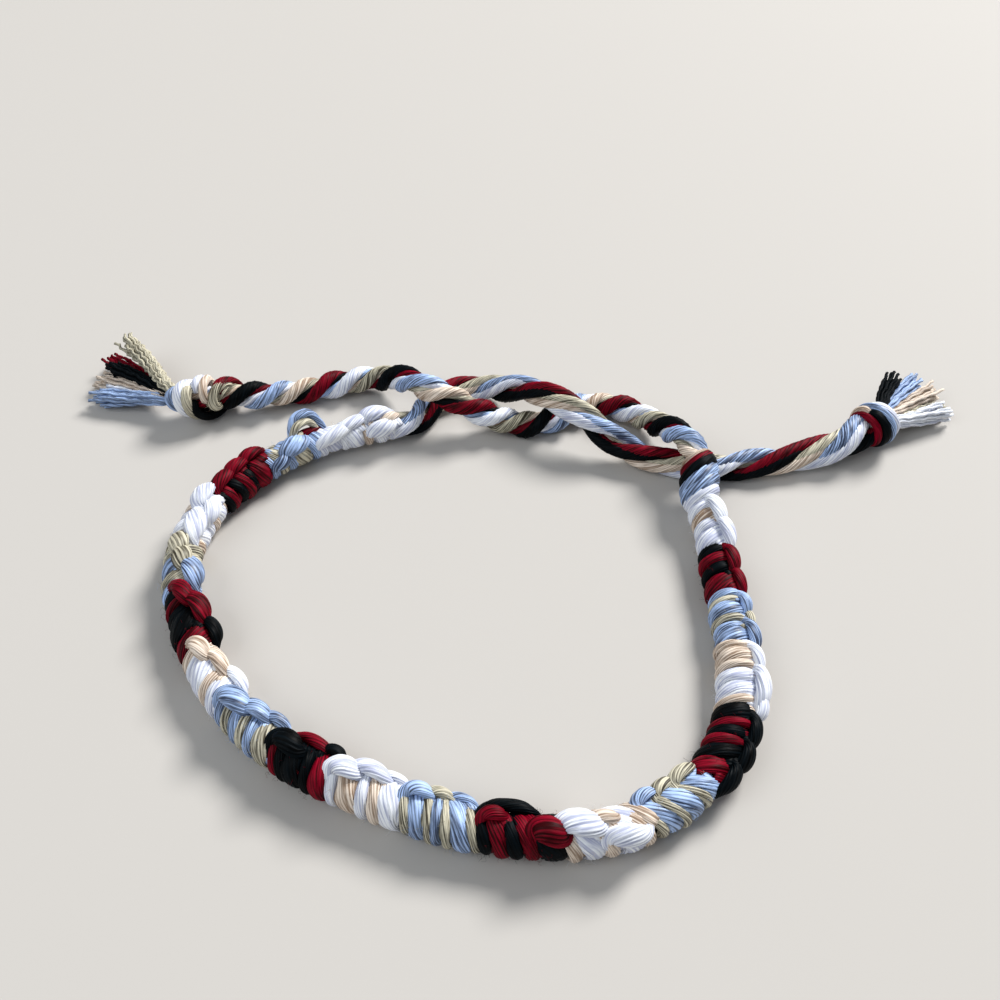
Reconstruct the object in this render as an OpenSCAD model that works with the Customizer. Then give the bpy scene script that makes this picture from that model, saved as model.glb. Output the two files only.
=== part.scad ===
// Friendship bracelet of six embroidery flosses, lying on a table.
// A band of spiral staircase knots is worked round a bundle of core strands.
// Past each end of the band the six strands run on as a twisted tie, which
// ends in an overhand knot and a cut tuft. The two ties cross at the back.
// x runs to the right, y to the back and z up from the table, in millimetres.

/* [Band] */
// Diameter of the knotted cord over its coils
coil_d = 4.3; // [4.1:0.1:4.5]
// Height of the crossings over the coils
ridge_h = 1; // [0.5:0.1:1.1]
// Depth of the groove between two coils
groove = 0.14; // [0.05:0.01:0.2]
// Diameter of the bundle of core strands inside the knots
core_d = 2.3; // [2:0.1:2.4]
// Height of the cord's centreline over the table
band_z = 2.1; // [2:0.05:2.2]

/* [Ties] */
// Diameter of a twisted tie
tie_d = 3.2; // [2.8:0.1:3.2]
// Diameter of an end knot at its thickest
knot_d = 5.4; // [5:0.1:5.6]
// Diameter of the start knot at its thickest
start_knot_d = 4.9; // [4.7:0.1:5.1]
// Length of an end knot along its tie
knot_len = 6.2; // [5.5:0.1:6.5]
// Diameter of one lock of a tuft
lock_d = 1.9; // [1.5:0.1:2.1]

/* [Fit] */
// Gap between two neighbouring pieces
gap = 0.1; // [0.08:0.01:0.12]

/* [Hidden] */

// Colour of each pair of working strands, in the order of the sections
pair_tints = ["linen", "firebrick", "lightsteelblue"];

// Knotted sections, from the right-hand end clockwise round the loop: length,
// clockwise turn in degrees, share of the coil diameter, how far its middle
// lies outward of the chain of arcs, and the angle of the ridge at the first
// and the last knot, 0 on top and 90 outside the loop
LENGTH = 0;
TURN = 1;
GIRTH = 2;
OUTWARD = 3;
RIDGE_FROM = 4;
RIDGE_TO = 5;
sections = [
    [6.2, 7, 0.92, -0.8, 25, 45],
    [6.2, 2, 0.95, -1.1, 40, 54],
    [6.7, 6, 0.96, -0.9, 50, 64],
    [7.4, 16, 1.03, -0.4, 58, 72],
    [8.4, 22, 1.00, 0.2, 62, 70],
    [7.2, 24, 0.98, 0.2, -40, -45],
    [7.5, 20, 1.05, 0, 45, -5],
    [7.5, 14, 1.02, -0.3, 10, -25],
    [7.2, 10, 1.02, -0.3, -68, -40],
    [7.3, 4, 1.00, -0.3, -64, -16],
    [6.7, 8, 1.03, -0.3, -62, -12],
    [7.4, 20, 0.98, -0.3, -60, -13],
    [7.2, 9, 0.97, 0, -62, -6],
    [7.9, 8, 1.03, 0, -60, -5],
    [6.9, 23, 0.98, 0, -42, 4],
    [7.4, 28, 0.97, 0, -25, 12],
    [7.6, 16, 0.98, 0, 4, 22],
    [6.8, 16, 0.84, 0, -50, -10],
    [9.9, 17, 0.78, 0, -45, 20]
];
section_count = len(sections);

// Heading of the cord where it leaves the right-hand end, in degrees from x
first_heading = -80;
// The tie that crosses under the right-hand end lifts it, over this length
end_lift = 0.6;
lift_run = 12;

// Each section is three knots of two coils, with a ring on every coil and groove
knots_each = 3;
rings_per_knot = 4;
rings_each = knots_each * rings_per_knot;
sides = 12;
bore_d = core_d + 2 * gap;

// Half the width of a crossing and its slant across a knot, in degrees round
// the cord, and the share of its height that is left between two knots
crossing_half = 65;
crossing_slant = 50;
crossing_low = 0.3;

// Where the arcs of the band start in the measure that the ties, knots and
// tufts are given in
routes_from = [28.65, 12.84, 0];

// Routes of the two ties, each with one ring at every point
tie_to_left_route = [
    [27.4, 19.8, 4.9], [26.9, 21.3, 5.1], [25.8, 23.6, 4.7], [24.3, 26.4, 3.3],
    [22.1, 29.2, 2.0], [19.6, 31.2, 1.7], [16.8, 31.8, 1.7], [13.8, 30.7, 1.7],
    [10.6, 28.9, 1.7], [7.4, 28.3, 1.7], [4.4, 28.7, 2.1], [1.8, 29.0, 3.4],
    [-0.8, 29.3, 4.7], [-3.6, 30.4, 5.2], [-6.2, 32.3, 5.0], [-8.8, 34.8, 3.4],
    [-11.4, 36.2, 2.1], [-14.6, 36.0, 1.7], [-18.4, 35.0, 1.7], [-22.6, 33.6, 1.9],
    [-26.6, 32.6, 2.6], [-29.8, 32.1, 2.8]
];
tie_to_right_route = [
    [-8.3, 27.4, 2.1], [-7.0, 27.6, 2.1], [-5.6, 28.8, 1.9], [-4.6, 30.8, 1.7],
    [-3.2, 32.9, 1.7], [-0.9, 34.4, 1.7], [2.0, 34.8, 1.7], [4.8, 33.9, 2.5],
    [7.2, 32.3, 3.9], [9.6, 30.3, 5.0], [12.0, 28.4, 5.2], [14.4, 26.6, 4.8],
    [17.0, 25.0, 3.5], [19.6, 23.7, 2.3], [23.0, 22.2, 1.7], [26.6, 21.1, 1.7],
    [30.4, 20.5, 1.7], [35.0, 21.2, 1.7], [40.0, 22.1, 1.9], [44.6, 23.4, 2.5],
    [47.4, 24.9, 2.8]
];

// The start knot leans up from the band, this far from it, to this far end
start_knot_off = 0.55;
start_knot_end = [27.5, 19.3, 4.75];

// Overhand knots: turns of strand side by side, and how far the turns lean
// from square to the axis, in degrees
turns = 5;
start_knot_lean = 35;
end_knot_lean = 15;
// Share of a knot's thickness at each end of it, and the bulge's sharpness
knot_end_share = 0.6;
knot_bulge = 0.5;

// Tips of the locks in each tuft: blue, white, peach, black, red and khaki
left_tips = [
    [-48.1, 33.7, 0.9], [-46.5, 35.2, 0.8], [-48.5, 37.3, 1.2],
    [-47.0, 38.4, 1.8], [-47.2, 39.9, 2.6], [-44.6, 41.4, 4.5]
];
right_tips = [
    [58.4, 35.8, 2.5], [62.1, 31.8, 1.4], [60.6, 34.4, 2.0],
    [55.0, 35.4, 3.2], [57.6, 33.2, 0.9], [60.6, 30.2, 0.9]
];
// Head that a tuft's locks are gathered in, and how much a lock sags
head_d = 3;
head_len = 1.4;
lock_sag = 0.3;
lock_sides = 8;
// Columns: share of the way to the tip, and share of the lock's diameter
lock_profile = [[0, 0.7], [0.35, 1], [0.75, 1.2], [1, 1.1]];

function unit(v) = v / norm(v);
function wrapped(a) = a - 360 * round(a / 360);
function mix(a, b, u) = a + (b - a) * u;

// Ring of points about a centre, seen along the direction d: the first point
// is on top and the next ones follow to the left, and none is under the table
function ring(centre, d, radii) =
    let (left = unit(cross([0, 0, 1], d)), up = cross(d, left), n = len(radii))
    [
        for (k = [0:n - 1])
            let (a = 360 * k / n, p = centre + radii[k] * (sin(a) * left + cos(a) * up))
            [p[0], p[1], max(p[2], 0)]
    ];
function round_ring(centre, d, r, n) = ring(centre, d, [for (k = [1:n]) r]);

// Closed solid through rings of equally many points
module loft(rings) {
    n = len(rings[0]);
    last = len(rings) - 1;
    polyhedron(
        points = [for (one = rings) for (p = one) p],
        faces = concat(
            [[for (k = [n - 1:-1:0]) k]],
            [
                for (j = [0:last - 1])
                    for (k = [0:n - 1])
                        let (a = j * n + k, b = j * n + (k + 1) % n)
                        for (face = [[a, b, b + n], [a, b + n, a + n]]) face
            ],
            [[for (k = [0:n - 1]) last * n + k]]
        )
    );
}

// The band's centreline is a chain of clockwise arcs, one to a section
function heading(h) = [cos(h), sin(h)];
function right_of(h) = [sin(h), -cos(h)];
function arc_point(from, h, i, s) =
    let (r = sections[i][LENGTH] * 180 / PI / sections[i][TURN])
    from + r * (right_of(h) - right_of(h - sections[i][TURN] * s / sections[i][LENGTH]));
starts = [
    for (
        i = 0, from = [0, 0], h = first_heading, run = 0;
        i < section_count;
        from = arc_point(from, h, i, sections[i][LENGTH]),
        h = h - sections[i][TURN],
        run = run + sections[i][LENGTH],
        i = i + 1
    ) [from, h, run]
];
function cord_z(run) = band_z + end_lift * pow(max(0, 1 - run / lift_run), 2);

// How far the cord lies outward of the arcs, given at the sections' middles
outward_table = [
    for (i = [0:section_count - 1]) [starts[i][2] + sections[i][LENGTH] / 2, sections[i][OUTWARD]]
];

// Centre of section i at a share u of its length, before the loop is centred
function raw_centre(i, u) =
    let (
        s = u * sections[i][LENGTH],
        run = starts[i][2] + s,
        h = starts[i][1] - sections[i][TURN] * u,
        p = arc_point(starts[i][0], starts[i][1], i, s) - lookup(run, outward_table) * right_of(h)
    )
    [p[0], p[1], cord_z(run)];
function along(i, u) =
    let (d = heading(starts[i][1] - sections[i][TURN] * u))
    [d[0], d[1], 0];

// Radius of section i on ring j at the angle a round the cord
function crossing(off) = abs(off) < crossing_half ? pow(cos(90 * off / crossing_half), 2) : 0;
function coil_r(i, j, a) =
    let (
        row = sections[i],
        knot = min(floor(j / rings_per_knot), knots_each - 1),
        share = j / rings_per_knot - knot,
        ridge = mix(row[RIDGE_FROM], row[RIDGE_TO], knot / (knots_each - 1)),
        middle = ridge + crossing_slant * (share - 0.5),
        height = ridge_h * mix(crossing_low, 1, sin(180 * share))
    )
    row[GIRTH] * coil_d / 2 - (j % 2 == 0 ? groove : 0) + height * crossing(wrapped(a - middle));

// Share of section i at which ring j sits, with half a gap at each end
function ring_share(i, j) =
    let (margin = gap / 2 / sections[i][LENGTH])
    mix(margin, 1 - margin, j / rings_each);
function raw_rings(i) = [
    for (j = [0:rings_each])
        let (u = ring_share(i, j))
        ring(raw_centre(i, u), along(i, u), [for (k = [0:sides - 1]) coil_r(i, j, 360 * k / sides)])
];

// The origin is under the middle of the box round the knotted sections
outside = [for (i = [0:section_count - 1]) for (one = raw_rings(i)) for (p = one) p];
function middle_of(c) = (min([for (p = outside) p[c]]) + max([for (p = outside) p[c]])) / 2;
centring = [-middle_of(0), -middle_of(1), 0];
function centre(i, u) = raw_centre(i, u) + centring;
// The ties, knots and tufts move with the band
moved = centring - routes_from;
function placed(points) = [for (p = points) p + moved];
to_left = placed(tie_to_left_route);
to_right = placed(tie_to_right_route);

module knot_section(i) {
    color(pair_tints[i % len(pair_tints)])
        difference() {
            loft([for (one = raw_rings(i)) [for (p = one) p + centring]]);
            loft([for (u = [-0.02, 0.5, 1.02]) round_ring(centre(i, u), along(i, u), bore_d / 2, sides)]);
        }
}

module core_strands() {
    stations = concat(
        [for (i = [0:section_count - 1]) for (u = [0, 0.5]) [i, u]],
        [[section_count - 1, 1]]
    );
    color("rosybrown")
        loft([for (s = stations) round_ring(centre(s[0], s[1]), along(s[0], s[1]), core_d / 2, sides)]);
}

// Direction of a route at its point i
function direction(route, i) =
    let (before = max(i - 1, 0), after = min(i + 1, len(route) - 1))
    unit(
        (before == i ? [0, 0, 0] : unit(route[i] - route[before]))
        + (after == i ? [0, 0, 0] : unit(route[after] - route[i]))
    );

module tie(route) {
    color("lightslategray")
        loft([for (i = [0:len(route) - 1]) round_ring(route[i], direction(route, i), tie_d / 2, 8)]);
}

// Overhand knot: turns side by side round the axis from a to b, each leaning
module overhand_knot(a, b, lean, thickness) {
    d = unit(b - a);
    color("slategray")
        loft([
            for (j = [0:2 * turns])
                let (
                    u = j / (2 * turns),
                    bulge = pow(sin(180 * u), knot_bulge),
                    r = thickness / 2 * mix(knot_end_share, 1, bulge) - (j % 2 == 0 ? groove : 0),
                    flat = round_ring(mix(a, b, u), d, r, sides)
                )
                [
                    for (k = [0:sides - 1])
                        flat[k] + d * r * sin(180 * u) * tan(lean) * sin(360 * k / sides)
                ]
        ]);
}

// The piece after a tie starts a gap past the tie's end and runs straight on
function past(route, distance) =
    route[len(route) - 1] + (gap + distance) * direction(route, len(route) - 1);

module end_knot(route) {
    overhand_knot(past(route, 0), past(route, knot_len), end_knot_lean, knot_d);
}

// Tuft: six locks gathered in a head, a gap past the end knot
module tassel(route, tips) {
    from = past(route, knot_len + gap);
    d = direction(route, len(route) - 1);
    root = from + d * head_len / 2;
    color("gainsboro")
        union() {
            loft([for (u = [0, 1]) round_ring(from + d * head_len * u, d, head_d / 2, lock_sides)]);
            for (tip = placed(tips))
                loft([
                    for (row = lock_profile)
                        let (
                            lift = -lock_sag * sin(180 * row[0]),
                            at = mix(root, tip, row[0]) + [0, 0, lift]
                        )
                        round_ring(at, unit(tip - root), row[1] * lock_d / 2, lock_sides)
                ]);
        }
}

for (i = [0:section_count - 1])
    knot_section(i);
core_strands();
overhand_knot(  // start_knot
        centre(0, 0) - start_knot_off * along(0, 0), start_knot_end + moved, start_knot_lean, start_knot_d
    );
tie(to_left);  // tie_to_left
tie(to_right);  // tie_to_right
end_knot(to_left);  // end_knot_left
end_knot(to_right);  // end_knot_right
tassel(to_left, left_tips);  // tassel_left
tassel(to_right, right_tips);  // tassel_right
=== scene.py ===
import math
from collections import namedtuple

import bpy
import numpy as np
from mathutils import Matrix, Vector


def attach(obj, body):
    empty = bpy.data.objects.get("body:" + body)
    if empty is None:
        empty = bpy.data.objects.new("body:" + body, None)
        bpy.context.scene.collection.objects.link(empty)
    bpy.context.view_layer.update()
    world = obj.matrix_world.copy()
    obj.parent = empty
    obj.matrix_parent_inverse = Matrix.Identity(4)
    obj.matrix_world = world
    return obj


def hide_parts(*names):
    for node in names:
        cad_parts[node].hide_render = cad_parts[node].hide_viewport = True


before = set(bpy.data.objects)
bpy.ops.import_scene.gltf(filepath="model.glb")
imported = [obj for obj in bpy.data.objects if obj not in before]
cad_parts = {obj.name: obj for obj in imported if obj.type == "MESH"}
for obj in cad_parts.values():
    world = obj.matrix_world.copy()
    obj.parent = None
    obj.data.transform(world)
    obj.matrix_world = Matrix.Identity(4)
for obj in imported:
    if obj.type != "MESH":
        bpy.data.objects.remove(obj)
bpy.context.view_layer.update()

# The bracelet lies on the floor, z = 0. The routes of the ties are in metres, and the other tables in
# millimetres, which MM turns into metres. Angles are in degrees, except where radians are named.
MM = 0.001
UP = np.array([0.0, 0.0, 1.0])
rng = np.random.default_rng(19)

# The tables hold places as first measured. This brings the middle of the loop over the origin.
MOVED = np.array([0.49, -0.34, 0.0]) * MM

# Camera as the photograph was taken: its place, its tilt below the horizon, its field of view, and the
# nearest distance at which it sees
CAMERA_PLACE = np.array([4.6, -68.6, 94.0]) * MM + MOVED
CAMERA_TILT = 47.7
CAMERA_VIEW = 50.0
CAMERA_NEAR = 1 * MM

# The six flosses, in the order in which they lie round the bundle in a knot, and their letters in the tables
FLOSSES = ["peach", "red", "black", "blue", "khaki", "white"]
LETTERS = {"w": "white", "p": "peach", "k": "black", "r": "red", "b": "blue", "h": "khaki"}

# The pairs of flosses that the sections are knotted with, in turn round the loop
WORKING_PAIRS = [("white", "peach"), ("black", "red"), ("blue", "khaki")]

# Plies of a strand: their widths against the usual, the depths of the grooves between them as shares of the
# strand, the length in which they go once round it, and how much they swell
PLY_WIDTHS = (0.6, 1.4)
PLY_GROOVES = (0.052, 0.195)
PLY_LAY = 14 * MM
PLY_SWELL = 0.03
# Length of one radian of the wave in which a ply swells, and how many radians two plies may be apart in it
PLY_WAVE = 1.9 * MM
PLY_WAVES_APART = 50
# A strand starts anywhere in so many millimetres of the pattern of its fibres, and a wave in so many radians
FIBRE_RANGE = 90
WAVE_RANGE = 6.3
# A ply's own share of its tone. The rest is its strand's.
PLY_TONE = 0.7
# Lowest that a strand lies over the floor
FLOOR_GAP = 0.02 * MM

# Loose fibres: points in each, half its thickness, its reach, how far it leans off and how it curls
STRAY_POINTS = 6
STRAY_HALF = 0.010 * MM
STRAY_REACH = (0.3, 0.7)
STRAY_LEAN = 0.8
STRAY_CURL = 0.5
STRAY_CURL_RADIANS = 3.5

# Ties: the two strands of a pair, the pair's angle from the black and red one, its distance from the tie's
# middle, half the thickness of a strand, and how it moves out where the tie is loose
Pair = namedtuple("Pair", "first second angle reach half loosens")
# A tie: its route from the knotted band to its end knot; the angle of the side that the photograph shows; how
# far along the tie the black and red pair comes round to that side, a turn apart; its pairs; how often the
# strands of a pair turn about each other in a turn of the tie, and where they start; and how loose its end is
Tie = namedtuple("Tie", "route seen turns pairs spin spin_start loose")

LEFT_TIE = Tie(
    route=[
        (0.0274, 0.0198, 0.0049), (0.0269, 0.0213, 0.0051), (0.0258, 0.0236, 0.0047),
        (0.0243, 0.0264, 0.0033), (0.0221, 0.0292, 0.0020), (0.0196, 0.0312, 0.0017),
        (0.0168, 0.0318, 0.0017), (0.0138, 0.0307, 0.0017), (0.0106, 0.0289, 0.0017),
        (0.0074, 0.0283, 0.0017), (0.0044, 0.0287, 0.0021), (0.0018, 0.0290, 0.0034),
        (-0.0008, 0.0293, 0.0047), (-0.0036, 0.0304, 0.0052), (-0.0062, 0.0323, 0.0050),
        (-0.0088, 0.0348, 0.0034), (-0.0114, 0.0362, 0.0021), (-0.0146, 0.0360, 0.0017),
        (-0.0184, 0.0350, 0.0017), (-0.0226, 0.0336, 0.0019), (-0.0266, 0.0326, 0.0026),
        (-0.0298, 0.0321, 0.0028),
    ],
    seen=42, turns=(-3.5, 6.5, 15.6, 25.6, 34.8, 46.8, 57.6, 67.3, 77.0),
    pairs=[
        Pair("black", "red", 0, 0.90, 0.67, 1.0), Pair("blue", "white", 126, 0.90, 0.67, 1.0),
        Pair("peach", "khaki", 243, 0.82, 0.58, -0.8),
    ],
    spin=0.5, spin_start=0, loose=0.0,
)
RIGHT_TIE = Tie(
    route=[
        (-0.0083, 0.0274, 0.0021), (-0.0070, 0.0276, 0.0021), (-0.0056, 0.0288, 0.0019),
        (-0.0046, 0.0308, 0.0017), (-0.0032, 0.0329, 0.0017), (-0.0009, 0.0344, 0.0017),
        (0.0020, 0.0348, 0.0017), (0.0048, 0.0339, 0.0025), (0.0072, 0.0323, 0.0039),
        (0.0096, 0.0303, 0.0050), (0.0120, 0.0284, 0.0052), (0.0144, 0.0266, 0.0048),
        (0.0170, 0.0250, 0.0035), (0.0196, 0.0237, 0.0023), (0.0230, 0.0222, 0.0017),
        (0.0266, 0.0211, 0.0017), (0.0304, 0.0205, 0.0017), (0.0350, 0.0212, 0.0017),
        (0.0400, 0.0221, 0.0019), (0.0446, 0.0234, 0.0025), (0.0474, 0.0249, 0.0028),
    ],
    seen=-42, turns=(-7.0, 8.0, 22.5, 38.0, 54.5, 70.5),
    pairs=[
        Pair("black", "red", 0, 0.90, 0.67, 1.0), Pair("white", "blue", 159, 0.90, 0.67, 1.0),
        Pair("peach", "khaki", 256, 0.80, 0.56, -0.8),
    ],
    spin=-1, spin_start=90, loose=0.32,
)
# Points of a tie are this far apart, and its strands run on by these distances into the knots at its ends
TIE_STEP = 0.5 * MM
RUN_ON = 0.6 * MM * np.arange(1, 6)[:, None]
# Where the strands run on, they are drawn in to such shares of their distance from the tie's middle: from the
# first share to the second, at the tie's start and at its end
DRAWN_IN_FIRST = (0.72, 0.95)
DRAWN_IN_LAST = (0.98, 0.85)
# The length over which a tie's end is loose
LOOSE_RUN = 5 * MM
# The outer strand of a pair stands out, leans aside on its way round and is thicker by so much
PROUD_OUT = 0.24
PROUD_ASIDE = 24
PROUD_SWELL = 0.16
# Width and thickness of a tie's strand against its table's thickness
TIE_WIDE = 1.12
TIE_THICK = 0.96
# Each strand also stands out, leans aside and swells in waves of its own: by how much, and the length of one
# radian of the wave
TIE_SLACK = (0.09, 2.4 * MM)
TIE_WAVER = (8, 3.7 * MM)
TIE_SWELL = (0.07, 1.5 * MM)
TIE_STRAYS = 30

# Band: where it leaves the start knot, its heading there, and its height over the floor
BAND_START = (28.65, 12.84)
BAND_HEADING = -80.0
BAND_HEIGHT = 2.1
# The band is lifted by so much at the start knot, and down again after this length
LIFT = 0.6
LIFT_RUN = 12.0

# A lobe rides over the coils: its floss by letter, its start and end as shares of the section, the angle at
# each (0 on top, 90 outside the loop), its size, and how far it stands off the band
Lobe = namedtuple("Lobe", "floss begin end first_angle last_angle size stand_off", defaults=[0.0])
# A knotted section: its length, how far it bends clockwise, its girth against the usual, how far its middle
# lies outward, how far its coils lean, their flosses by letter (a capital is a wide one), and its lobes
Section = namedtuple("Section", "length bend girth outward lean coils lobes")
# The sections clockwise round the loop
SECTIONS = [
    Section(6.2, 7, 0.92, -0.8, 0.2, "wpwW", [
        Lobe("w", -0.1, 0.5, 20, 30, 1.0), Lobe("w", 0.35, 1.0, 30, 45, 1.05),
    ]),
    Section(6.2, 2, 0.95, -1.1, 0.2, "krkR", [
        Lobe("r", 0.0, 0.55, 36, 44, 0.95), Lobe("r", 0.45, 1.0, 46, 54, 0.95),
    ]),
    Section(6.7, 6, 0.96, -0.9, 0.2, "bhBhbB", [
        Lobe("b", 0.0, 0.36, 48, 55, 0.8), Lobe("h", 0.30, 0.62, 62, 60, 0.7),
        Lobe("b", 0.50, 1.0, 58, 64, 1.0),
    ]),
    Section(7.4, 16, 1.03, -0.4, 0.2, "pPpWWp", [
        Lobe("w", -0.02, 0.38, 50, 58, 0.85), Lobe("w", 0.26, 0.86, 62, 66, 1.45),
        Lobe("w", 0.66, 1.02, 78, 74, 1.1),
    ]),
    Section(8.4, 22, 1.00, 0.2, 0.4, "KrkrKR", [
        Lobe("k", 0.0, 0.4, 62, 65, 1.05), Lobe("k", 0.32, 0.7, 68, 70, 1.0),
        Lobe("k", 0.62, 1.0, 72, 66, 1.0),
    ]),
    Section(7.2, 24, 0.98, 0.2, 1.2, "BhBhBh", [
        Lobe("h", 0.0, 0.45, -38, -45, 0.85), Lobe("h", 0.35, 0.75, -48, -42, 0.85),
        Lobe("b", 0.65, 1.05, -50, -40, 0.9),
    ]),
    Section(7.5, 20, 1.05, 0.0, 0.9, "pWpWp", [
        Lobe("w", 0.0, 0.5, 50, 30, 1.0), Lobe("p", 0.3, 0.65, 0, -15, 0.8),
        Lobe("w", 0.5, 1.05, 15, -15, 1.3),
    ]),
    Section(7.5, 14, 1.02, -0.3, 0.5, "Krkrk", [
        Lobe("r", -0.05, 0.35, 25, 0, 1.2), Lobe("k", 0.3, 1.0, -55, -60, 1.0),
        Lobe("r", 0.68, 1.0, -22, -18, 0.9),
    ]),
    Section(7.2, 10, 1.02, -0.3, 0.2, "hBhbhBh", [
        Lobe("b", 0.1, 0.55, -80, -76, 0.85), Lobe("h", 0.42, 0.8, -68, -54, 0.85),
        Lobe("b", 0.7, 1.05, -44, -34, 1.0),
    ]),
    Section(7.3, 4, 1.00, -0.3, 0.2, "WpwPw", [
        Lobe("w", 0.05, 0.5, -62, -70, 0.9), Lobe("w", 0.3, 0.85, -48, -52, 1.2),
        Lobe("w", 0.68, 1.08, -15, -18, 1.2),
    ]),
    Section(6.7, 8, 1.03, -0.3, 0.2, "RkKkr", [
        Lobe("k", 0.0, 0.35, -62, -65, 0.9), Lobe("r", 0.2, 0.85, -55, -62, 1.0),
        Lobe("k", 0.55, 1.05, -8, -15, 1.15),
    ]),
    Section(7.4, 20, 0.98, -0.3, 0.4, "Hbhbhb", [
        Lobe("b", 0.0, 0.45, -62, -55, 1.05), Lobe("b", 0.3, 0.75, -42, -32, 1.15),
        Lobe("b", 0.6, 1.08, -18, -8, 1.1),
    ]),
    Section(7.2, 9, 0.97, 0.0, 0.4, "WpWwp", [
        Lobe("w", 0.0, 0.5, -65, -60, 1.0), Lobe("p", 0.35, 0.85, -40, -30, 1.05),
        Lobe("p", 0.7, 1.1, -12, 0, 0.95),
    ]),
    Section(7.9, 8, 1.03, 0.0, 0.5, "RKkrk", [
        Lobe("k", 0.0, 0.45, -62, -58, 1.05), Lobe("r", 0.35, 0.85, -45, -30, 1.15),
        Lobe("r", 0.7, 1.08, -15, 5, 1.05),
    ]),
    Section(6.9, 23, 0.98, 0.0, 0.3, "bhBhh", [
        Lobe("b", 0.0, 0.6, -45, -38, 1.15), Lobe("h", 0.4, 0.8, -18, -10, 1.0),
        Lobe("h", 0.65, 1.08, 0, 8, 1.05),
    ]),
    Section(7.4, 28, 0.97, 0.0, 0.3, "pWwpW", [
        Lobe("w", 0.0, 0.6, -35, -15, 1.25), Lobe("w", 0.45, 0.9, -50, -30, 1.1),
        Lobe("w", 0.62, 1.1, 5, 20, 1.2),
    ]),
    Section(7.6, 16, 0.98, 0.0, 0.3, "krkrkR", [
        Lobe("r", 0.0, 0.5, 0, 8, 1.1), Lobe("r", 0.35, 0.75, 12, 18, 1.05),
        Lobe("r", 0.65, 1.05, 20, 25, 1.05),
    ]),
    Section(6.8, 16, 0.84, 0.0, 0.3, "bhbHb", [
        Lobe("b", 0.05, 0.4, -62, -50, 0.85), Lobe("b", 0.32, 0.8, -38, -20, 1.15),
        Lobe("h", 0.5, 0.85, 5, 25, 0.75), Lobe("h", 0.56, 1.12, 10, 28, 0.6, 1.3),
        Lobe("b", 0.60, 1.22, 24, 42, 0.85, 1.9),
    ]),
    Section(9.9, 17, 0.78, 0.0, 0.4, "wWwWpWw", [
        Lobe("w", -0.04, 0.50, -60, -10, 0.95), Lobe("w", 0.28, 0.74, -25, 20, 1.0),
        Lobe("w", 0.60, 0.96, 10, 36, 1.55), Lobe("w", 0.66, 0.99, -62, -36, 1.1),
        Lobe("p", 0.84, 1.04, -20, 0, 0.8),
    ]),
]

# The course of every lobe, as rows: share of its run, angle past its own, radius, half width and half
# thickness. It comes out from under the last lobe, rides over the coils, and dips under the next lobe to
# become a coil itself.
LOBE_COURSE = [
    (0.02, -50, 1.30, 0.45, 0.40),
    (-0.02, -20, 1.52, 0.52, 0.44),
    (0.08, -4, 2.00, 0.70, 0.52),
    (0.25, 0, 2.38, 0.92, 0.60),
    (0.50, 0, 2.52, 1.04, 0.64),
    (0.75, 2, 2.42, 0.96, 0.60),
    (0.93, 8, 2.06, 0.78, 0.52),
    (1.00, 24, 1.70, 0.62, 0.44),
    (0.97, 50, 1.38, 0.54, 0.40),
    (0.95, 80, 1.20, 0.48, 0.36),
]
# By how much chance changes a lobe's size and its angles
LOBE_SIZE_VARIES = 0.07
LOBE_ANGLE_VARIES = 3
# Share of a lobe's size that its thickness follows
LOBE_THICKENS = 0.6
# A bigger lobe stands out more, by this share of its size, and does so from this radius on
LOBE_STANDS_OUT = 0.45
LOBE_OUT_FROM = 1.7
# A lobe that stands off the band does so from this radius on, and fully when it is this much further out
STAND_OFF_FROM = 1.9
STAND_OFF_RISE = 0.6

# Coils of a strand round the core: radius of its middle, half its thickness, half its width against its share
# of the section, the width of a wide one, and how far it goes along the band in a turn
COIL_RADIUS = 1.66
COIL_HALF = 0.45
COIL_WIDE = 0.56
WIDE_COIL = 1.8
COIL_PITCH = 1.1
# How far the ends of a coil run past a full turn, over what angle they are tucked in and to what radius, and
# the angle between its points
COIL_PAST = 34
COIL_TUCK = 28
COIL_TUCKED = 1.4
COIL_STEP = 14.0
# By how much chance changes a coil's lean, width and radius, and by how much it stands out and swells in
# waves
COIL_LEAN_VARIES = 0.16
COIL_WIDTH_VARIES = 0.10
COIL_RADIUS_VARIES = 0.035
COIL_SLACK = 0.07
COIL_SWELL = 0.10
# Girth of a section at its ends, and by how much its middle is thicker
SECTION_ENDS = 0.96
SECTION_BULGE = 0.07

# The first knots' coils lie under the others: their turns, the angle between their points, their radius, half
# width against the section's length, half thickness, and how far apart those of the two flosses start
PACKING_TURNS = 3
PACKING_STEP = 20.0
PACKING_RADIUS = 1.36
PACKING_WIDE = 0.105
PACKING_HALF = 0.4
PACKING_APART = 1.2

# Loose fibres of a section: how many for each floss, the points and the radius that they start from, and the
# angle to either side up to which they do
SECTION_STRAYS = 36
STRAY_STARTS = 60
STRAY_RADIUS = 2.0
STRAY_SIDE = 150

# Core strands: their flosses, the radius that they lie at, half their thickness, how far they turn in a
# millimetre, how far they run past the band's ends, and their points
CORE_FLOSSES = ["red", "black", "white", "peach"]
CORE_RADIUS = 0.62
CORE_HALF = 0.5
CORE_TURN = 8
CORE_PAST = 1.0
CORE_POINTS = 130
# The red core strand shows under the loops that stand off the 18th section, which has the index 17
OPEN_SECTION = 17
OPEN_CORE = Lobe("r", 0.66, 1.14, 22, 34, 0.7, -0.2)

# An arc of floss in an overhand knot: its floss, its share of the knot's length, how far it leans, the angles
# between which it shows (0 on top), and half its width
Arc = namedtuple("Arc", "floss share lean begin end half")
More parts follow.
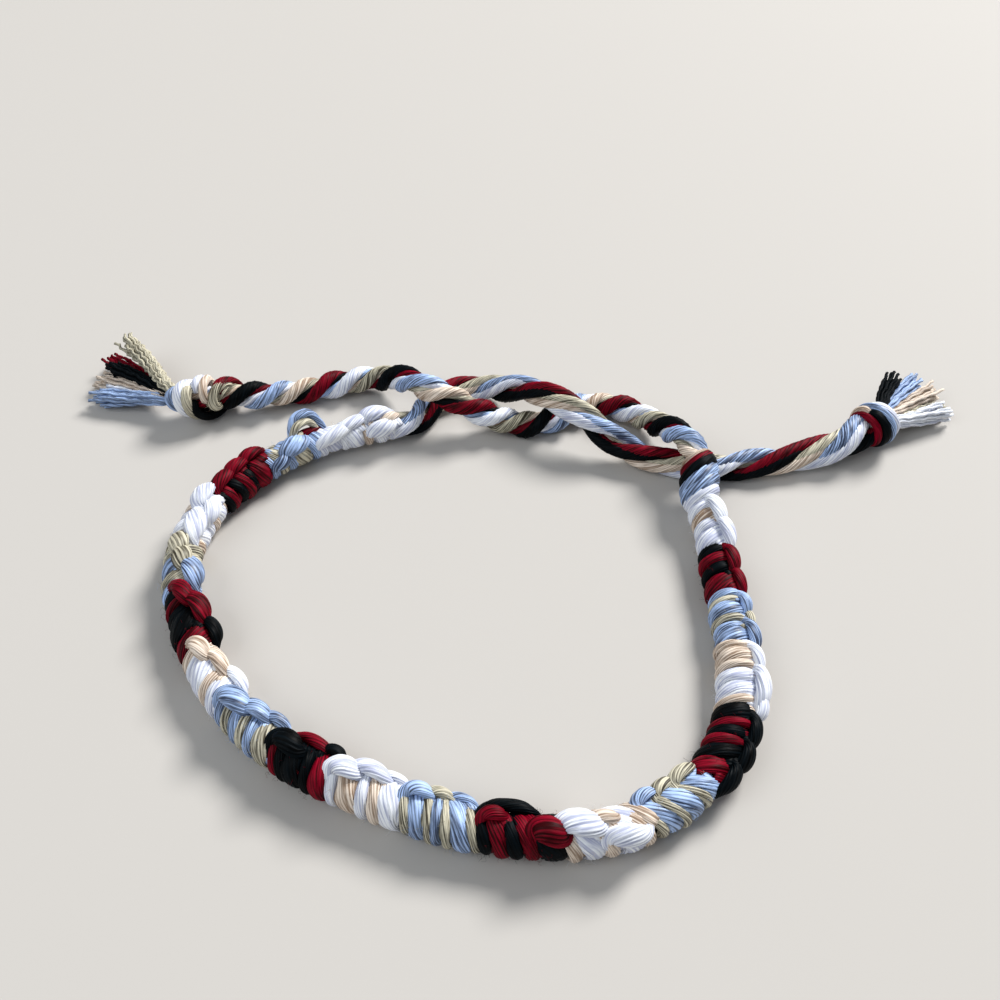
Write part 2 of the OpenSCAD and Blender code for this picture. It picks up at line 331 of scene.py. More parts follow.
# An overhand knot: its thickness, its arcs, where the bundle inside starts and ends as shares of its length,
# the side of it that the photograph shows, and how far its arcs bow there
Knot = namedtuple("Knot", "thickness arcs bundle seen bow")
START_KNOT = Knot(4.9, [
    Arc("white", 0.04, -9, -170, 190, 0.90), Arc("white", 0.20, -20, -160, 200, 0.85),
    Arc("blue", 0.36, -26, -190, 170, 0.85), Arc("blue", 0.52, -28, -170, 180, 0.85),
    Arc("black", 0.70, -28, -170, 190, 0.90), Arc("red", 0.86, -26, -150, 180, 0.62),
    Arc("peach", 0.97, -22, -120, 150, 0.45),
], (0.08, 0.82), 0, 0.0)
LEFT_KNOT = Knot(5.8, [
    Arc("khaki", 0.12, 24, -30, 112, 0.66), Arc("red", 0.16, 10, -160, 22, 0.80),
    Arc("black", 0.48, 20, 66, 260, 0.58), Arc("peach", 0.44, -6, -60, 62, 0.56),
    Arc("khaki", 0.72, 6, 0, 230, 0.70), Arc("white", 0.60, -4, -150, 20, 0.62),
    Arc("white", 0.88, 0, -170, 190, 0.95), Arc("blue", 1.10, 0, -190, 180, 0.62),
], (0.4, 0.97), LEFT_TIE.seen, 1.1)
RIGHT_KNOT = Knot(5.8, [
    Arc("red", 0.12, -6, -190, 180, 0.42), Arc("peach", 0.34, -6, 5, 125, 0.55),
    Arc("black", 0.34, -8, -220, 20, 0.62), Arc("blue", 0.58, -8, -180, 190, 0.48),
    Arc("white", 0.84, -6, -190, 180, 0.66),
], (0.2, 0.97), RIGHT_TIE.seen, 0.15)
# The start knot begins this far before the band and ends here, and the end knots lie this far past the ties
START_KNOT_OFF = 0.55
START_KNOT_END = np.array([27.5, 19.3, 4.75]) * MM + MOVED
LEFT_KNOT_RUN = (0.1, 6.3)
RIGHT_KNOT_RUN = (1.8, 5.3)
# Points of an arc: this many, and one more for each such angle
ARC_POINTS = 8
ARC_STEP = 9
# Half an arc's thickness, how deep its middle lies in the knot, and the angle over which its ends tuck in
ARC_HALF = 0.58
ARC_DEPTH = 0.55
ARC_TUCK = 35
# Radius of a knot at its ends against its middle, how quickly it fills out, and the same for a tucked-in end
KNOT_ENDS = 0.66
KNOT_FILLS = 0.7
ARC_TUCKED = 0.66
# Share of an arc's lean that is left at the knot's ends
LEAN_AT_ENDS = 0.6
ARC_STRAYS = 6
# Bundle inside a knot: its points, how far it turns in a millimetre, its layers, each with its radius, its
# first angle and by how much it narrows towards the knot's ends, and half a strand's width and thickness
BUNDLE_POINTS = 20
BUNDLE_TURN = 8
BUNDLE_LAYERS = [(0.5, 30, 0.0), (1.25, 0, 0.25)]
BUNDLE_WIDE = 0.6
BUNDLE_HALF = 0.5

# Tufts: where the cut end of each floss lies
LEFT_TIPS = {
    "blue": (-48.1, 33.7, 0.9), "white": (-46.5, 35.2, 0.8), "peach": (-48.5, 37.3, 1.2),
    "black": (-46.9, 38.1, 2.5), "red": (-47.8, 41.2, 1.3), "khaki": (-44.9, 41.7, 4.5),
}
RIGHT_TIPS = {
    "blue": (58.4, 35.8, 2.5), "white": (61.5, 31.0, 1.4), "peach": (60.6, 34.2, 2.0),
    "black": (55.0, 35.3, 3.2), "red": (57.6, 33.2, 0.9), "khaki": (60.6, 32.2, 0.9),
}
# The locks fan out from this far past the knot. Each starts this far inside it and this far off its middle,
# in full only for a tip that is at least so far off.
TUFT_PAST = 0.1
LOCK_INSIDE = 0.9 * MM
LOCK_OFF = 0.9 * MM
LOCK_OFF_FROM = 2 * MM
# Middle of a lock: how far it first goes on straight and then towards its tip, where its middle point lies,
# and the points from each of these to the next
LOCK_STRAIGHT = 0.07
LOCK_TOWARD = 0.12
LOCK_MIDDLE = 0.55
LOCK_POINTS = 12
# The core of a lock: half its thickness, its plies, and how many points before the tip it ends
LOCK_CORE = 0.55 * MM
LOCK_CORE_PLIES = 9
LOCK_CORE_SHORT = 3
# Plies of a lock: how many, half their thickness, the radius that they fill, how far they turn on the way and
# the angle from one to the next, both in radians, and the length in which a ply's fibres go once round it
LOCK_PLIES = 22
LOCK_PLY_HALF = 0.225 * MM
LOCK_RADIUS = 0.98 * MM
LOCK_TURN = 0.8
LOCK_PLY_ANGLE = 2.4
LOCK_PLY_LAY = 5 * MM
# They spread from this share of the radius by a share between these two, ever faster, and are cut short by
# up to this share of their length
SPREAD_FROM = 0.72
SPREAD_BY = (0.42, 0.77)
SPREAD_FASTER = 1.5
CUT_SHORT = 0.14
# Waves, as their size and the length of one radian: of the plies of a lock together, of those of the khaki
# lock, which is crimped more, and of each ply by itself
LOCK_CRIMP = (0.07 * MM, 0.32 * MM)
KHAKI_CRIMP = (0.17 * MM, 0.21 * MM)
PLY_LOOSE = (0.07 * MM, 0.9 * MM)


def unit(v):
    return v / np.linalg.norm(v, axis=-1, keepdims=True)


def between(low, high, count=None):
    """Random numbers from low to high."""
    return low + (high - low) * rng.random(count)


def wave(run, size, radian=1.0):
    """A wave along run that starts anywhere, with the length of one radian of it."""
    return size * np.sin(run / radian + WAVE_RANGE * rng.random())


def smooth(rows, per_span):
    """Points on a smooth curve through the rows, with per_span of them from each row to the next."""
    rows = np.asarray(rows, float)
    padded = np.vstack([2 * rows[0] - rows[1], rows, 2 * rows[-1] - rows[-2]])
    u = np.arange(per_span)[:, None] / per_span
    out = []
    for a, b, c, d in zip(padded, padded[1:], padded[2:], padded[3:]):
        square = 2 * a - 5 * b + 4 * c - d
        cube = 3 * b - 3 * c + d - a
        out.append(0.5 * (2 * b + (c - a) * u + square * u**2 + cube * u**3))
    return np.vstack(out + [rows[-1:]])


def run_of(line):
    """The distance along a line at each of its points."""
    return np.r_[0, np.cumsum(np.linalg.norm(np.diff(line, axis=0), axis=1))]


def even(line, step):
    """The same curve with its points a step apart."""
    run = run_of(line)
    at = np.linspace(0, run[-1], round(run[-1] / step) + 1)
    return np.column_stack([np.interp(at, run, axis) for axis in line.T])


def tangents(line):
    """The direction of a line at each of its points."""
    return unit(np.gradient(line, axis=0))


def past_end(line, distance):
    """The point that lies at a distance past the end of a line, straight on."""
    return line[-1] + distance * unit(line[-1] - line[-3])


def sides(along):
    """Two directions across along: level to its left, and up from it."""
    left = unit(np.cross(UP, along))
    return left, np.cross(along, left)


def turned_out(angle, left, top):
    """The directions at those angles, in radians, from top round to the left."""
    return np.cos(angle)[:, None] * top + np.sin(angle)[:, None] * left


class Threads:
    """Strands and fibres, thin closed tubes that are gathered into one mesh."""

    def __init__(self):
        self.points = []
        self.quads = []
        self.caps = []
        self.fibre = []
        self.ply = []
        self.count = 0

    def tube(self, line, side, out, wide, thick, plies, steps, start=0.0, lay=1.0):
        """A tube of plies side by side, each rounded over so many steps, that go round once in a lay."""
        run = run_of(line)
        count = plies * steps
        own = np.repeat(rng.random(plies), steps)
        edges = np.cumsum(np.repeat(between(*PLY_WIDTHS, plies), steps))
        around = 2 * np.pi * edges / edges[-1]
        rise = np.sin(np.pi * (np.arange(count) % steps) / steps) if steps > 1 else np.ones(count)
        groove = np.repeat(between(*PLY_GROOVES, plies), steps)
        swell = PLY_SWELL * np.sin(run[:, None] / PLY_WAVE + PLY_WAVES_APART * own)
        size = (1 - groove * (1 - rise)) * (1 - PLY_SWELL + swell)
        turned = around + start + 2 * np.pi * run[:, None] / lay
        across = (size * wide[:, None] * np.cos(turned))[..., None] * side[:, None, :]
        upward = (size * thick[:, None] * np.sin(turned))[..., None] * out[:, None, :]
        self.points.append((line[:, None, :] + across + upward).reshape(-1, 3))
        shape = turned.shape
        self.fibre.append(np.stack([
            np.broadcast_to(run[:, None] / MM, shape) + FIBRE_RANGE * rng.random(),
            np.broadcast_to(np.cos(around), shape),
            np.broadcast_to(np.sin(around), shape),
        ], axis=-1).reshape(-1, 3))
        tone = PLY_TONE * own + (1 - PLY_TONE) * rng.random()
        # The ply's tone, and its rise, which the floss shader turns into painted shade in the grooves between
        # plies
        ply = np.stack([tone, rise, np.zeros(count)], axis=-1)
        self.ply.append(np.broadcast_to(ply, (*shape, 3)).reshape(-1, 3))
        ring, step = np.meshgrid(np.arange(len(line) - 1), np.arange(count), indexing="ij")
        here = self.count + ring * count + step
        beside = self.count + ring * count + (step + 1) % count
        self.quads.append(np.stack([here, beside, beside + count, here + count], axis=-1).reshape(-1, 4))
        self.caps.append(self.count + np.arange(count)[::-1])
        self.count += len(line) * count
        self.caps.append(self.count - count + np.arange(count))

    def strand(self, line, out, wide, thick, plies=15, steps=3):
        """A strand along a line: half as wide as wide across out, half as thick as thick along it."""
        along = tangents(line)
        out = unit(out - np.sum(out * along, axis=1, keepdims=True) * along)
        side = np.cross(along, out)
        wide, thick = (np.broadcast_to(half, len(line)) for half in (wide, thick))
        self.tube(line, side, out, wide, thick, plies, steps, WAVE_RANGE * rng.random(), PLY_LAY)

    def strays(self, line, out, count):
        """Fine loose fibres that stand off the strand along a line."""
        share = np.linspace(0, 1, STRAY_POINTS)[:, None]
        half = np.full(STRAY_POINTS, STRAY_HALF)
        for _ in range(count):
            at = rng.integers(2, len(line) - 2)
            lean = unit(out[at] + STRAY_LEAN * rng.normal(size=3))
            reach = between(*STRAY_REACH) * MM
            curl = unit(rng.normal(size=3))
            curled = STRAY_CURL * np.sin(STRAY_CURL_RADIANS * share) * curl
            path = line[at] + reach * (share * lean + curled)
            across = np.broadcast_to(unit(np.cross(lean, curl)), path.shape)
            self.tube(path, across, unit(np.cross(tangents(path), across)), half, half, plies=3, steps=1)

    def build(self, tint, node, name=None):
        """The mesh as a piece of that floss, which lies with the rest and stands for that solid."""
        name = name or f"{node}_{tint}"
        mesh = bpy.data.meshes.new(name)
        points = np.vstack(self.points).real
        points[:, 2] = np.maximum(points[:, 2], FLOOR_GAP)
        quads = np.vstack(self.quads)
        loops = np.concatenate([quads.ravel(), *self.caps])
        totals = np.array([4] * len(quads) + [len(cap) for cap in self.caps])
        mesh.vertices.add(len(points))
        mesh.vertices.foreach_set("co", points.astype(np.float32).ravel())
        mesh.loops.add(len(loops))
        mesh.loops.foreach_set("vertex_index", loops.astype(np.int32))
        mesh.polygons.add(len(totals))
        mesh.polygons.foreach_set("loop_start", np.r_[0, np.cumsum(totals)[:-1]].astype(np.int32))
        mesh.polygons.foreach_set("use_smooth", np.ones(len(totals), bool))
        mesh.update(calc_edges=True)
        for key, rows in (("fibre", self.fibre), ("ply", self.ply)):
            kept = mesh.attributes.new(key, "FLOAT_VECTOR", "POINT")
            kept.data.foreach_set("vector", np.vstack(rows).astype(np.float32).ravel())
        mesh.materials.append(MATERIALS[tint])
        piece = bpy.data.objects.new(name, mesh)
        bpy.context.scene.collection.objects.link(piece)
        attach(piece, "root")
        "floss_" + tint
        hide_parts(node)
        return piece


class Value:
    """A socket's value, so that shader maths reads as an expression."""

    def __init__(self, shader, socket):
        self.shader = shader
        self.socket = socket

    def _with(self, operation, a, b):
        return self.shader.node("ShaderNodeMath", {"operation": operation}, {0: a, 1: b})

    def __add__(self, other):
        return self._with("ADD", self, other)

    def __radd__(self, other):
        return self._with("ADD", other, self)

    def __sub__(self, other):
        return self._with("SUBTRACT", self, other)

    def __rsub__(self, other):
        return self._with("SUBTRACT", other, self)

    def __mul__(self, other):
        return self._with("MULTIPLY", self, other)

    def __rmul__(self, other):
        return self._with("MULTIPLY", other, self)


class Shader:
    """One material's nodes."""

    def __init__(self, name):
        self.material = bpy.data.materials.new(name)
        self.material.use_nodes = True
        self.tree = self.material.node_tree
        self.surface = self.tree.nodes["Principled BSDF"]

    def node(self, kind, settings, inputs, output=0):
        """Adds a node, with its settings first and then the values or links of its sockets."""
        made = self.tree.nodes.new(kind)
        for key, value in settings.items():
            setattr(made, key, value)
        for key, value in inputs.items():
            self.feed(made.inputs[key], value)
        return Value(self, made.outputs[output])

    def feed(self, socket, value):
        if isinstance(value, Value):
            self.tree.links.new(value.socket, socket)
        else:
            socket.default_value = value

    def blend(self, share, first, second):
        """A colour between two colours."""
        return self.node("ShaderNodeMix", {"data_type": "RGBA"}, {0: share, 6: first, 7: second}, output=2)

    def finish(self, **inputs):
        for key, value in inputs.items():
            self.feed(self.surface.inputs[key.replace("_", " ")], value)
        return self.material


# Floss: how its fibres' pattern is stretched along and round a strand, and the scale of the dye's patches
FIBRE_STRETCH = (0.5, 3.6, 3.6)
DYE_SCALE = 300.0
# How much each adds to the full colour: the roundness of a ply, so that the grooves between plies take
# painted shade; its tone; the fibres, whose streaks are partly their own tone and partly painted light and
# shade; and the dye. And how much of it is taken off in all, towards the painted shade colour
GROOVE_SHADE_SHARE = 0.7
TONE_SHARE = 0.9
FIBRE_SHARE = 3.4
DYE_SHARE = 0.3
SHADE_OFFSET = 2.2
# How high the fibres stand, how strongly that shows, and how much they roughen the surface
FIBRE_HEIGHT = 0.12 * MM
FIBRE_BUMP = 0.8
FIBRE_ROUGH = 0.2


def floss(name, shade_colour, full, rough, shine, sheen):
    """Silky cotton floss: fine fibres run along each ply, the plies differ a little in tone, and painted
    shade darkens the grooves.
    """
    shader = Shader(name)
    fibre = shader.node("ShaderNodeAttribute", {"attribute_name": "fibre"}, {}, output=1)
    ply = shader.node("ShaderNodeAttribute", {"attribute_name": "ply"}, {}, output=1)
    tone = shader.node("ShaderNodeSeparateXYZ", {}, {"Vector": ply})
    rise = shader.node("ShaderNodeSeparateXYZ", {}, {"Vector": ply}, output=1)
    stretched = shader.node("ShaderNodeVectorMath", {"operation": "MULTIPLY"}, {0: fibre, 1: FIBRE_STRETCH})
    fine = shader.node("ShaderNodeTexNoise", {}, {"Vector": stretched, "Scale": 1.0, "Detail": 3.0})
    spot = shader.node("ShaderNodeTexCoord", {}, {}, output=3)
    dye = shader.node("ShaderNodeTexNoise", {}, {"Vector": spot, "Scale": DYE_SCALE, "Detail": 1.0})
    # Painted shade: a low rise in the grooves between plies and the dark fibre streaks pull the colour
    # towards the first, shaded colour
    share = GROOVE_SHADE_SHARE * rise + TONE_SHARE * tone + FIBRE_SHARE * fine + DYE_SHARE * dye - SHADE_OFFSET
    bump = {"Strength": FIBRE_BUMP, "Distance": FIBRE_HEIGHT, "Height": fine}
    return shader.finish(
        # The first colour is painted shade and the second the floss's full colour
        Base_Color=shader.blend(share, (*shade_colour, 1), (*full, 1)),
        Roughness=rough + FIBRE_ROUGH * fine,
        Normal=shader.node("ShaderNodeBump", {}, bump),
        Sheen_Weight=sheen, Sheen_Roughness=0.5, Specular_IOR_Level=shine,
    )


# Each floss: its colour in painted shade, deep between the plies and fibres, its full colour, how rough it
# is, its gloss and its sheen
MATERIALS = {
    "white": floss("white floss", (0.45, 0.48, 0.64), (0.93, 0.96, 1.0), 0.42, 0.35, 0.08),
    "peach": floss("peach floss", (0.30, 0.20, 0.13), (0.92, 0.79, 0.66), 0.42, 0.35, 0.06),
    "black": floss("black floss", (0.0002, 0.0003, 0.0004), (0.0014, 0.0038, 0.0056), 0.38, 0.055, 0.0),
    "red": floss("red floss", (0.030, 0.0002, 0.0012), (0.24, 0.0012, 0.014), 0.42, 0.075, 0.0),
    "blue": floss("blue floss", (0.030, 0.048, 0.10), (0.45, 0.62, 0.96), 0.35, 0.48, 0.03),
    "khaki": floss("khaki floss", (0.050, 0.040, 0.020), (0.70, 0.65, 0.49), 0.40, 0.40, 0.03),
}


def twisted_tie(node, tie):
    """A tie's middle line, and its six strands in three twisted pairs that run on into the knots."""
    line = even(smooth(np.array(tie.route) + MOVED, per_span=24), TIE_STEP)
    whole = np.vstack([past_end(line[::-1], RUN_ON[::-1]), line, past_end(line, RUN_ON)])
    left, top = sides(tangents(whole))
    run = run_of(whole) - RUN_ON[-1]
    table = smooth(np.column_stack([tie.turns, np.arange(len(tie.turns))]), per_span=8)
    rounds = np.interp(run / MM, *table.T)
    loose = tie.loose * np.exp(-((run - run_of(line)[-1]) / LOOSE_RUN) ** 2)
    first, last = (np.linspace(*drawn, len(RUN_ON)) for drawn in (DRAWN_IN_FIRST, DRAWN_IN_LAST))
    drawn_in = np.r_[first, np.ones(len(line)), last]
    pieces = {}
    for pair in tie.pairs:
        turned = rounds + pair.angle / 360
        about = 2 * np.pi * tie.spin * turned + math.radians(tie.spin_start)
        spread = drawn_in * (1 + pair.loosens * loose)
        for tint, sign in ((pair.first, -1), (pair.second, 1)):
            proud = sign * np.cos(about)
            reach = pair.reach + PROUD_OUT * proud + wave(run, *TIE_SLACK)
            aside = PROUD_ASIDE * sign * np.sin(about) + wave(run, *TIE_WAVER)
            out = turned_out(np.radians(tie.seen + aside) + 2 * np.pi * turned, left, top)
            path = whole + (spread * reach * MM)[:, None] * out
            half = pair.half * (1 + PROUD_SWELL * proud + wave(run, *TIE_SWELL)) * (1 + loose) * MM
            threads = Threads()
            threads.strand(path, out, TIE_WIDE * half, TIE_THICK * half)
            threads.strays(path, out, TIE_STRAYS)
            pieces[tint] = threads.build(tint, node)
    return line, pieces


def right_of(heading):
    """The direction to the right of a heading, seen from above."""
    heading = np.radians(heading)
    return np.stack([np.sin(heading), -np.cos(heading)], axis=-1)


# The sections' lengths and bends, and for each start and the band's end the distance along it and the heading
LENGTHS = np.array([section.length for section in SECTIONS])
BENDS = np.array([section.bend for section in SECTIONS])
DISTANCES = np.r_[0, np.cumsum(LENGTHS)]
HEADINGS = BAND_HEADING - np.r_[0, np.cumsum(BENDS)]
# The radius of each section, and the place at each start and at the band's end
RADII = np.degrees(LENGTHS / BENDS)
STEPS = RADII[:, None] * (right_of(HEADINGS[:-1]) - right_of(HEADINGS[1:]))
PLACES = np.cumsum(np.vstack([np.array(BAND_START) + MOVED[:2] / MM, STEPS]), axis=0)
# The distance along the band at which each section has its middle
MIDDLES = DISTANCES[:-1] + LENGTHS / 2


def band(s):
    """The band's middle and the way out of the loop, at distances s along it, in millimetres."""
    which = np.clip(np.searchsorted(DISTANCES[:-1], s, side="right") - 1, 0, len(SECTIONS) - 1)
    begin = HEADINGS[which]
    now = begin - BENDS[which] / LENGTHS[which] * (s - DISTANCES[which])
    outward = np.interp(s, MIDDLES, [section.outward for section in SECTIONS])[:, None]
    flat = PLACES[which] + RADII[which, None] * (right_of(begin) - right_of(now)) - outward * right_of(now)
    height = BAND_HEIGHT + LIFT * np.maximum(0, 1 - s / LIFT_RUN) ** 2
    return np.column_stack([flat, height]), np.column_stack([-right_of(now), np.zeros(len(s))])


def on_band(s, angle, radius):
    """Points round the band in metres, and the direction out from its middle at each of them."""
    middle, away = band(s)
    out = turned_out(np.radians(angle), away, UP)
    return MM * (middle + radius[:, None] * out), out


def lobe(threads, i, shape):
    """A lobe of section i."""
    section = SECTIONS[i]
    share, past, radius, wide, thick = smooth(LOBE_COURSE, per_span=4).T
    size = shape.size * (1 + LOBE_SIZE_VARIES * rng.normal())
    first = shape.first_angle + LOBE_ANGLE_VARIES * rng.normal()
    last = shape.last_angle + LOBE_ANGLE_VARIES * rng.normal()
    s = DISTANCES[i] + section.length * (shape.begin + (shape.end - shape.begin) * share)
    angle = first + (last - first) * np.clip(share, 0, 1) + past
    bigger = LOBE_STANDS_OUT * (size - 1) * np.clip(radius - LOBE_OUT_FROM, 0, 1)
    off = shape.stand_off * np.clip((radius - STAND_OFF_FROM) / STAND_OFF_RISE, 0, 1)
    line, out = on_band(s, angle, section.girth * radius + bigger + off)
    threads.strand(line, out, size * wide * MM, (1 - LOBE_THICKENS + LOBE_THICKENS * size) * thick * MM)


def coil(threads, s, half, seam, girth):
    """One turn of floss round the core, with both its ends tucked in under the lobes."""
    angle = np.arange(-COIL_PAST, 360 + COIL_PAST + 1, COIL_STEP)
    tuck = np.clip(np.minimum(angle + COIL_PAST, 360 + COIL_PAST - angle) / COIL_TUCK, 0, 1)
    lean = np.interp(s, MIDDLES, [section.lean for section in SECTIONS]) + COIL_LEAN_VARIES * rng.normal()
    half = half * (1 + COIL_WIDTH_VARIES * rng.normal())
    along = s + COIL_PITCH * (0.5 - angle / 360) - lean * np.sin(np.radians(angle + seam))
    own = COIL_RADIUS * girth * (1 + COIL_RADIUS_VARIES * rng.normal())
    radius = COIL_TUCKED + (own - COIL_TUCKED) * np.sin(np.pi / 2 * tuck)
    line, out = on_band(along, angle + seam, radius + wave(2 * np.radians(angle), COIL_SLACK))
    swell = 1 + wave(3 * np.radians(angle), COIL_SWELL)
    threads.strand(line, out, half * swell * MM, COIL_HALF * MM)


def packing(threads, i, offset):
    """The coils of the first knots of section i, which lie under the others."""
    section = SECTIONS[i]
    whole = 360 * PACKING_TURNS
    angle = np.arange(0, whole + 1, PACKING_STEP)
    s = DISTANCES[i] + offset + (section.length - PACKING_APART) * angle / whole
    line, out = on_band(s, angle, np.full(len(s), PACKING_RADIUS * section.girth))
    threads.strand(line, out, PACKING_WIDE * section.length * MM, PACKING_HALF * MM, plies=6, steps=2)


def knotted_section(i):
    """Section i, in the two flosses that it is knotted with."""
    section = SECTIONS[i]
    pair = WORKING_PAIRS[i % len(WORKING_PAIRS)]
    threads = {tint: Threads() for tint in pair}
    seam = np.mean([(row.first_angle + row.last_angle) / 2 for row in section.lobes])
    widths = np.array([WIDE_COIL if letter.isupper() else 1.0 for letter in section.coils])
    edges = section.length * np.r_[0, np.cumsum(widths)] / widths.sum()
    for letter, low, high in zip(section.coils, edges, edges[1:]):
        middle = (low + high) / 2
        girth = section.girth * (SECTION_ENDS + SECTION_BULGE * math.sin(math.pi * middle / section.length))
        own = threads[LETTERS[letter.lower()]]
        coil(own, DISTANCES[i] + middle, COIL_WIDE * (high - low), seam, girth)
    for row in section.lobes:
        lobe(threads[LETTERS[row.floss]], i, row)
    for tint, offset in zip(pair, (0, PACKING_APART)):
        packing(threads[tint], i, offset)
    s = np.linspace(DISTANCES[i], DISTANCES[i] + section.length, STRAY_STARTS)
    radius = np.full(STRAY_STARTS, STRAY_RADIUS * section.girth)
    for tint in pair:
        line, out = on_band(s, rng.uniform(-STRAY_SIDE, STRAY_SIDE, STRAY_STARTS), radius)
        threads[tint].strays(line, out, SECTION_STRAYS)
        threads[tint].build(tint, f"knots_{i + 1:02d}_{pair[0]}_{pair[1]}")


def core():
    """The strands that run inside the knots."""
    s = np.linspace(-CORE_PAST, DISTANCES[-1] + CORE_PAST, CORE_POINTS)
    for k, tint in enumerate(CORE_FLOSSES):
        threads = Threads()
        line, out = on_band(s, 360 / len(CORE_FLOSSES) * k + CORE_TURN * s, np.full(len(s), CORE_RADIUS))
        threads.strand(line, out, CORE_HALF * MM, CORE_HALF * MM, plies=6, steps=2)
        if tint == LETTERS[OPEN_CORE.floss]:
            lobe(threads, OPEN_SECTION, OPEN_CORE)
        threads.build(tint, "core_strands", f"core_strand_{tint}")


def overhand_knot(node, a, b, knot):
    """An overhand knot from a to b: arcs of floss round the bundle that runs through it."""
    along = unit(b - a)
    left, top = sides(along)
    length = np.linalg.norm(b - a)
    half = knot.thickness / 2
    threads = {tint: Threads() for tint in FLOSSES}
    for arc in knot.arcs:
        angle = np.linspace(arc.begin, arc.end, ARC_POINTS + int((arc.end - arc.begin) / ARC_STEP))
        t = np.radians(angle)
        inside = math.sin(math.pi * arc.share)
        tuck = np.clip(np.minimum(angle - arc.begin, arc.end - angle) / ARC_TUCK, 0, 1)
        # Past the knot's end inside is negative and this a complex number, of which build keeps the real part
        radius = half * (KNOT_ENDS + (1 - KNOT_ENDS) * inside**KNOT_FILLS) - ARC_DEPTH
        radius = radius * (ARC_TUCKED + (1 - ARC_TUCKED) * np.sin(np.pi / 2 * tuck)) * MM
        lean = half * math.tan(math.radians(arc.lean)) * (LEAN_AT_ENDS + (1 - LEAN_AT_ENDS) * inside)
        slide = (lean * np.sin(t) - knot.bow * (1 - np.cos(t - math.radians(knot.seen)))) * MM
        out = turned_out(t, left, top)
        line = a + along * (arc.share * length + slide)[:, None] + radius[:, None] * out
        threads[arc.floss].strand(line, out, arc.half * MM, ARC_HALF * MM)
        threads[arc.floss].strays(line, out, ARC_STRAYS)
    share = np.linspace(*knot.bundle, BUNDLE_POINTS)
    through = a + along * (share * length)[:, None]
    for k, tint in enumerate(FLOSSES):
        for layer, first, narrows in BUNDLE_LAYERS:
            angle = 360 / len(FLOSSES) * k + first + BUNDLE_TURN * share * length / MM
            out = turned_out(np.radians(angle), left, top)
            radius = layer * MM * (1 - narrows * (2 * np.abs(share - 0.5)) ** 2)
            line = through + radius[:, None] * out
            threads[tint].strand(line, out, BUNDLE_WIDE * MM, BUNDLE_HALF * MM, plies=10)
    return [threads[tint].build(tint, node) for tint in FLOSSES]


def lock(root, along, tip, crimp):
    """The cut end of one floss, from a knot that runs along to its tip: a core and loose plies."""
    away = tip - root - np.dot(tip - root, along) * along
    begin = root - LOCK_INSIDE * along + LOCK_OFF * away / max(np.linalg.norm(away), LOCK_OFF_FROM)
    reach = np.linalg.norm(tip - begin)
    second = begin + LOCK_STRAIGHT * reach * along + LOCK_TOWARD * (tip - begin)
    third = (1 - LOCK_MIDDLE) * begin + LOCK_MIDDLE * tip
    middle = smooth([begin, second, third, tip], LOCK_POINTS)
    left, top = sides(tangents(middle))
    run = run_of(middle)
    crimped = wave(run, *crimp)
    threads = Threads()
    short = slice(-LOCK_CORE_SHORT)
    threads.strand(middle[short], top[short], LOCK_CORE, LOCK_CORE, plies=LOCK_CORE_PLIES)
    for p in range(LOCK_PLIES):
        angle = LOCK_PLY_ANGLE * p + LOCK_TURN * run / reach
        spread = SPREAD_FROM + between(*SPREAD_BY) * (run / reach) ** SPREAD_FASTER
        kept = slice(int(len(run) * (1 - CUT_SHORT * rng.random())))
        off = LOCK_RADIUS * math.sqrt((p + 0.5) / LOCK_PLIES) * spread
        level = off * np.cos(angle) + crimped
        upward = off * np.sin(angle) + wave(run, *PLY_LOOSE)
        line = (middle + level[:, None] * left + upward[:, None] * top)[kept]
        half = np.full(len(line), LOCK_PLY_HALF)
        threads.tube(line, left[kept], top[kept], half, half, plies=5, steps=1, lay=LOCK_PLY_LAY)
    return threads


def end_of_tie(side, line, run, knot, tips):
    """The overhand knot near a tie's end, and its cut tuft."""
    begin, end = run
    pieces = overhand_knot(f"end_knot_{side}", past_end(line, begin * MM), past_end(line, end * MM), knot)
    root = past_end(line, (end + TUFT_PAST) * MM)
    for tint, tip in tips.items():
        crimp = KHAKI_CRIMP if tint == "khaki" else LOCK_CRIMP
        threads = lock(root, unit(line[-1] - line[-3]), np.array(tip) * MM + MOVED, crimp)
        pieces.append(threads.build(tint, f"tassel_{side}"))
    return pieces


def floor(half, tint):
    """A plain pale floor."""
    mesh = bpy.data.meshes.new("floor")
    corners = [(-half, -half, 0), (half, -half, 0), (half, half, 0), (-half, half, 0)]
    mesh.from_pydata(corners, [], [(0, 1, 2, 3)])
    mesh.materials.append(Shader("pale floor").finish(Base_Color=(*tint, 1), Roughness=0.8))
    sheet = bpy.data.objects.new("floor", mesh)
    bpy.context.scene.collection.objects.link(sheet)


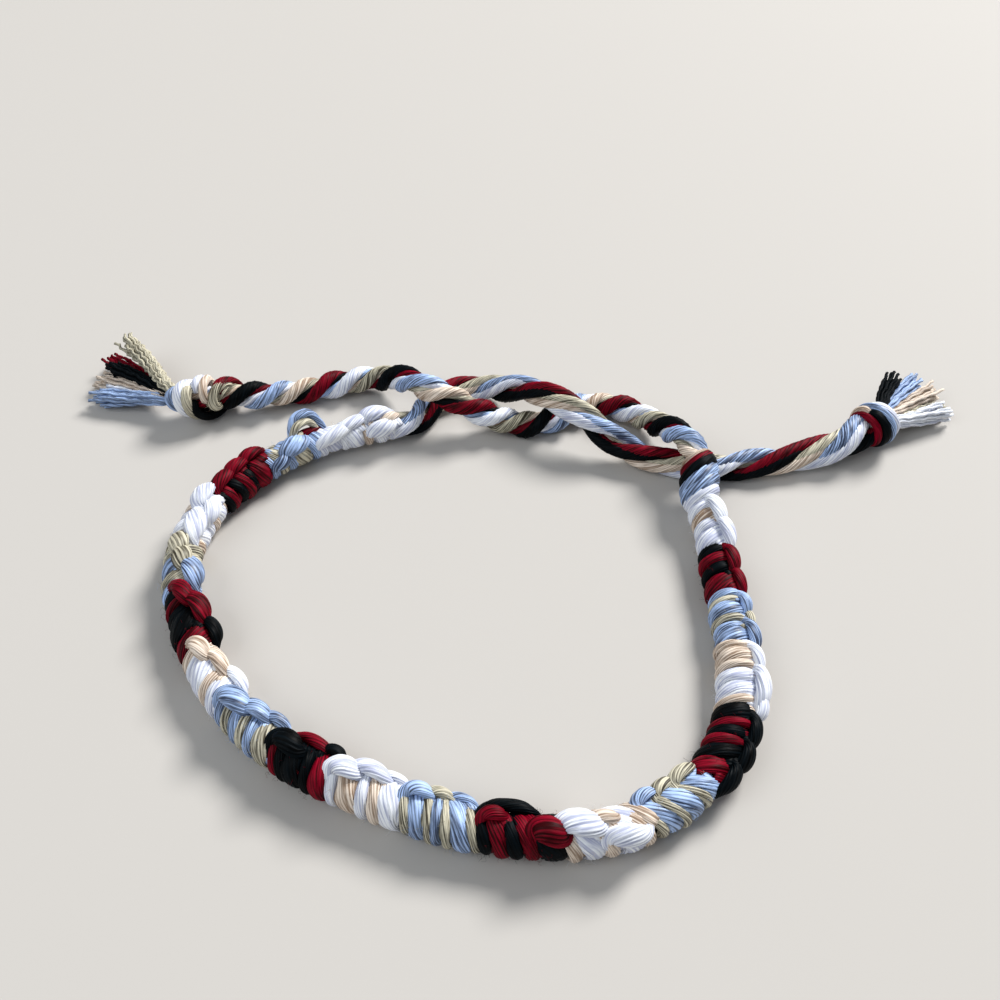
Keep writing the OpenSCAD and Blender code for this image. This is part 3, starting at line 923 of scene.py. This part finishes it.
def lamp(name, place, size, power, tint):
    """A round soft light that shines on the middle of the loop."""
    data = bpy.data.lights.new(name, "AREA")
    data.shape = "DISK"
    data.size = size
    data.energy = power
    data.color = tint
    light = bpy.data.objects.new(name, data)
    light.location = place
    light.rotation_euler = (-Vector(place)).to_track_quat("-Z", "Y").to_euler()
    bpy.context.scene.collection.objects.link(light)


def studio(tint, strength):
    """Light from all round."""
    world = bpy.data.worlds.new("studio")
    world.use_nodes = True
    background = world.node_tree.nodes["Background"]
    background.inputs["Color"].default_value = (*tint, 1)
    background.inputs["Strength"].default_value = strength
    bpy.context.scene.world = world
    bpy.context.scene.view_settings.view_transform = "Standard"


def camera():
    """The camera as it stood for the photograph."""
    lens = bpy.data.cameras.new("camera")
    lens.sensor_fit = "HORIZONTAL"
    lens.angle = math.radians(CAMERA_VIEW)
    lens.clip_start = CAMERA_NEAR
    body = bpy.data.objects.new("camera", lens)
    body.location = CAMERA_PLACE
    body.rotation_euler = (math.radians(90 - CAMERA_TILT), 0, 0)
    bpy.context.scene.collection.objects.link(body)
    bpy.context.scene.camera = body


camera()
left_line, left_tie = twisted_tie("tie_to_left", LEFT_TIE)
right_line, right_tie = twisted_tie("tie_to_right", RIGHT_TIE)
for i in range(len(SECTIONS)):
    knotted_section(i)
core()
(start_knot_begin,), _ = on_band(np.array([-START_KNOT_OFF]), np.zeros(1), np.zeros(1))
overhand_knot("start_knot", start_knot_begin, START_KNOT_END, START_KNOT)
left_end = end_of_tie("left", left_line, LEFT_KNOT_RUN, LEFT_KNOT, LEFT_TIPS)
right_end = end_of_tie("right", right_line, RIGHT_KNOT_RUN, RIGHT_KNOT, RIGHT_TIPS)

floor(half=6.0, tint=(0.52, 0.495, 0.46))
lamp("window light", (0.95, 1.08, 1.22), size=0.7, power=51.0, tint=(1.0, 0.99, 0.98))
lamp("fill", (-0.4, -0.2, 0.5), size=0.5, power=1.6, tint=(0.92, 0.96, 1.0))
studio(tint=(0.86, 0.92, 1.0), strength=0.32)
